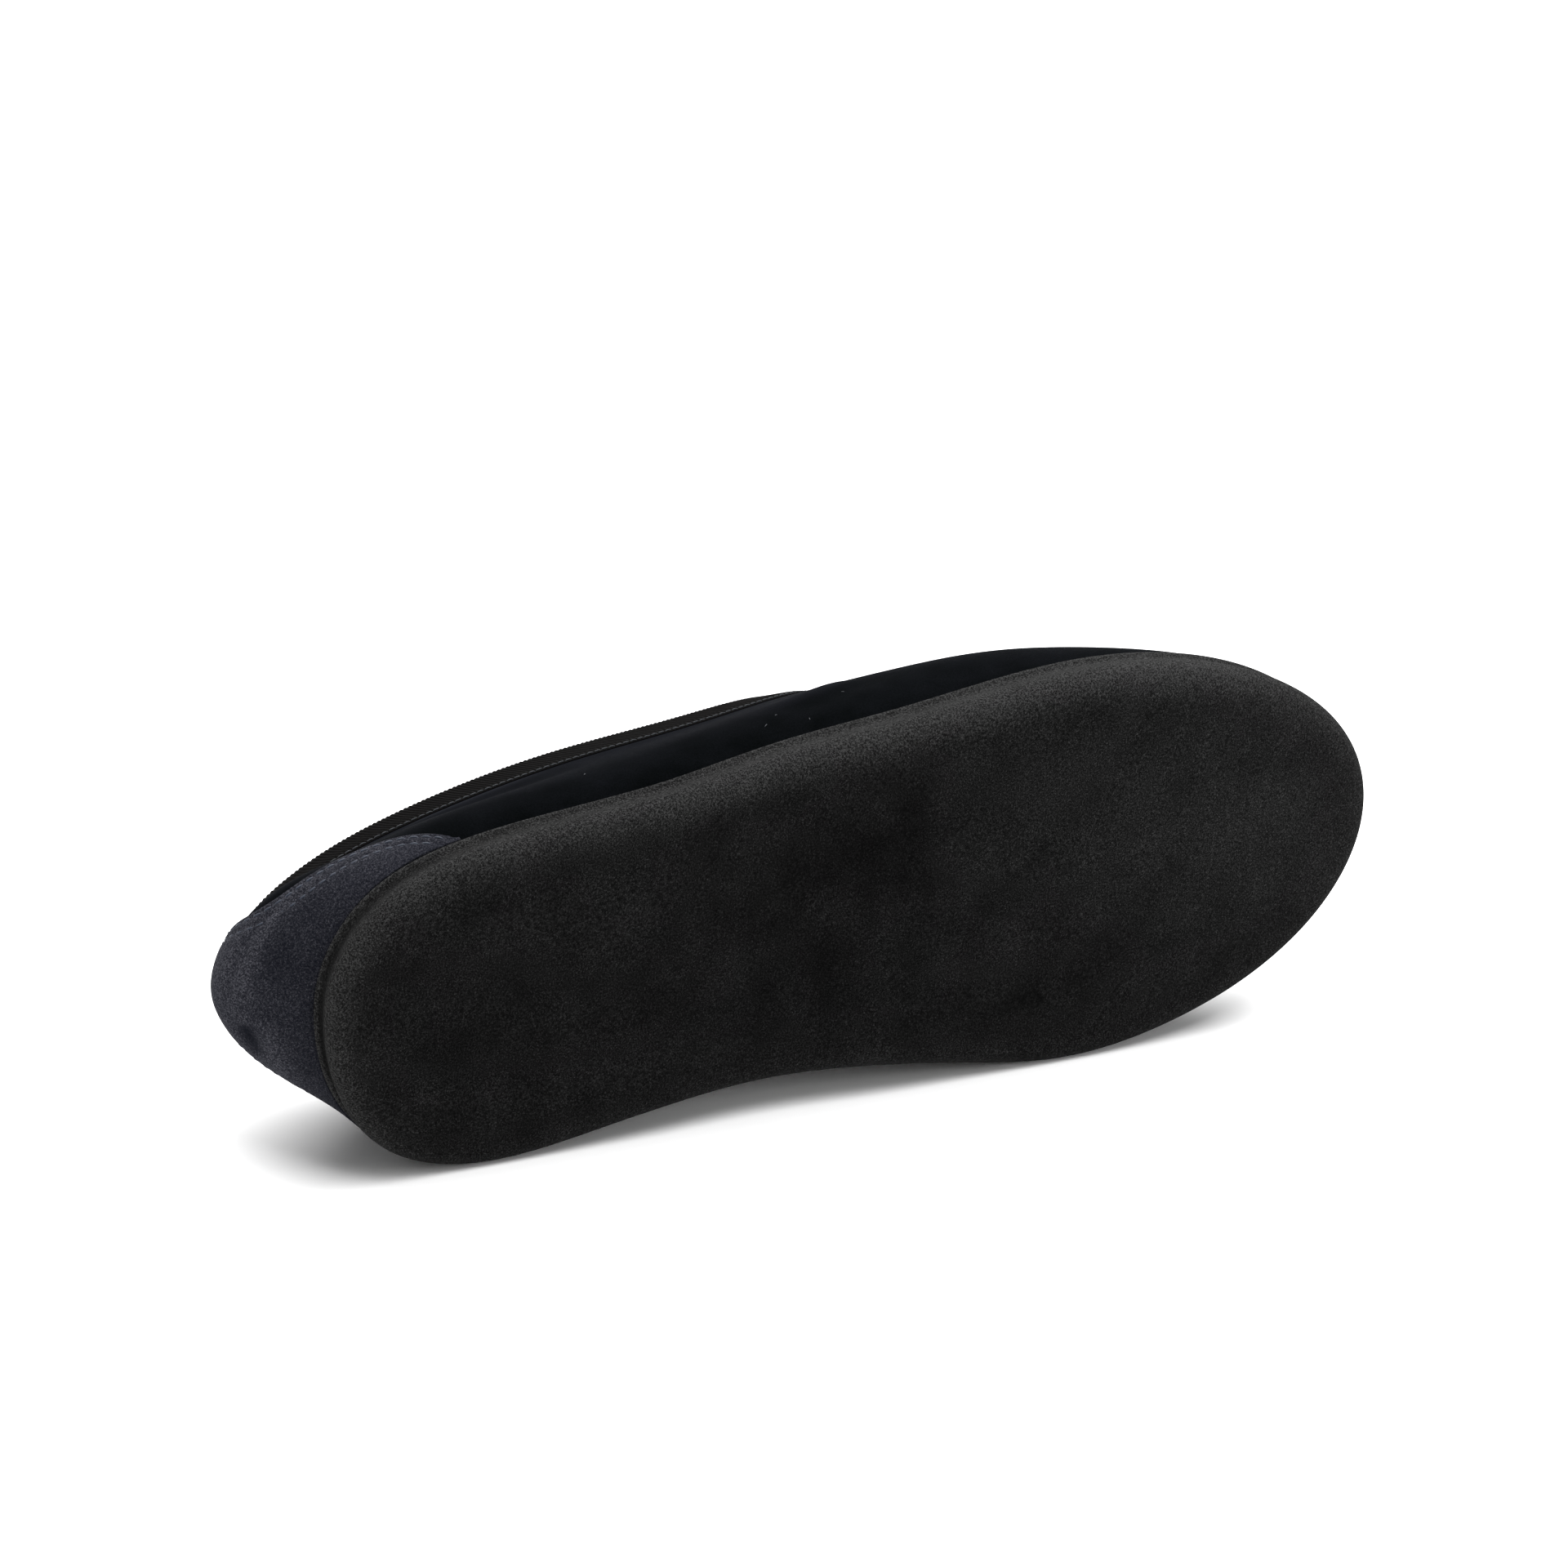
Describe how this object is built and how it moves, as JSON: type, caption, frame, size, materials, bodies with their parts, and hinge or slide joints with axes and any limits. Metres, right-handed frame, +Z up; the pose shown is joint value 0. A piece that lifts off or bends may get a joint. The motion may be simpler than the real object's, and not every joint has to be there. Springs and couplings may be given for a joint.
{
  "type": "velvet slipper",
  "caption": "Loafer-cut velvet house slipper lying on its side, with a padded suede sole, suede heel counter and ribbed ribbon at the collar.",
  "frame": {"origin": "middle of the bounding box, on the floor that the slipper lies on", "axes": "+X from heel to toe, +Z up from the floor, tread facing -Y; the slipper lies on its inner side"},
  "size_m": [0.2946, 0.071, 0.0971],
  "materials": {
    "sole_suede": "matt napped suede",
    "sock_lining": "matt cloth",
    "velvet": "cut pile velvet",
    "counter_suede": "matt napped suede",
    "grosgrain": "ribbed weave"
  },
  "bodies": {
    "root": {"sole": "sole_suede", "insole": "sock_lining", "upper": "velvet", "heel_counter": "counter_suede", "collar_ribbon": "grosgrain"}
  },
  "joints": []
}
